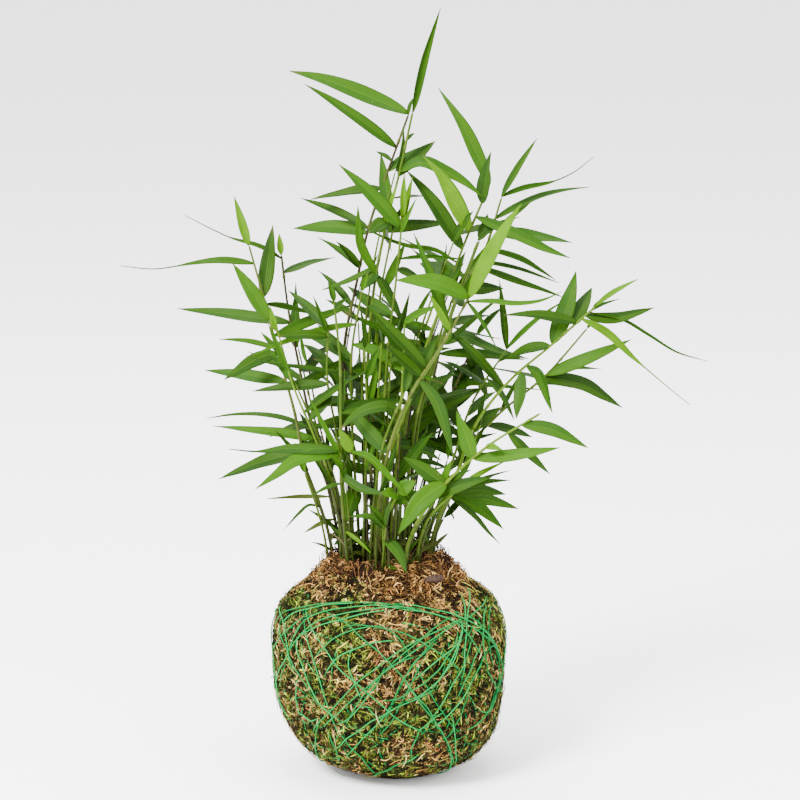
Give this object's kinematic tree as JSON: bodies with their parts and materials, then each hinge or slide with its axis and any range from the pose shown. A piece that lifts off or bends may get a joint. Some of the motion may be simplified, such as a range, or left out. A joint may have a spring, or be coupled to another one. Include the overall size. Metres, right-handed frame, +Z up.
{
  "type": "kokedama moss ball plant",
  "caption": "Moss-wrapped soil ball bound with green thread, planted with a fan of slender leafy bamboo culms; rests on a small flat spot.",
  "frame": {"origin": "middle of the small flat spot under the moss ball, level with the table", "axes": "+Z up along the stems, -Y towards the side that is shown as the front, +X to its right"},
  "size_m": [0.2942, 0.1388, 0.3864],
  "materials": {
    "soil": "damp crumbly dark soil",
    "moss": "matte mossy fibres, green to olive and brown",
    "dry_sphagnum": "matte dry curled tan fibres",
    "thread": "slightly glossy green twisted thread",
    "bark": "rough dry brown bark",
    "leaf": "satin green leaf with fine parallel veins"
  },
  "bodies": {
    "root": {"bark_chip": "bark", "binding_thread": "thread", "moss_wrap": "moss", "shoot_back_dark": "leaf", "shoot_back_hanging": "leaf", "shoot_centre_back": "leaf", "shoot_centre_front": "leaf", "shoot_centre_thin": "leaf", "shoot_far_left": "leaf", "shoot_far_right": "leaf", "shoot_front_bright": "leaf", "shoot_front_left": "leaf", "shoot_front_tan": "leaf", "shoot_left_bright": "leaf", "shoot_left_inner": "leaf", "shoot_left_mid": "leaf", "shoot_left_upright": "leaf", "shoot_low_front": "leaf", "shoot_low_right": "leaf", "shoot_mid_back": "leaf", "shoot_mid_front": "leaf", "shoot_mid_left": "leaf", "shoot_mid_rolled": "leaf", "shoot_right_back": "leaf", "shoot_right_inner": "leaf", "shoot_right_low": "leaf", "shoot_right_mid": "leaf", "shoot_right_tall": "leaf", "shoot_short_front": "leaf", "shoot_tall_purple": "leaf", "shoot_tallest": "leaf", "soil_core": "soil", "sphagnum_cap": "dry_sphagnum"}
  },
  "joints": []
}
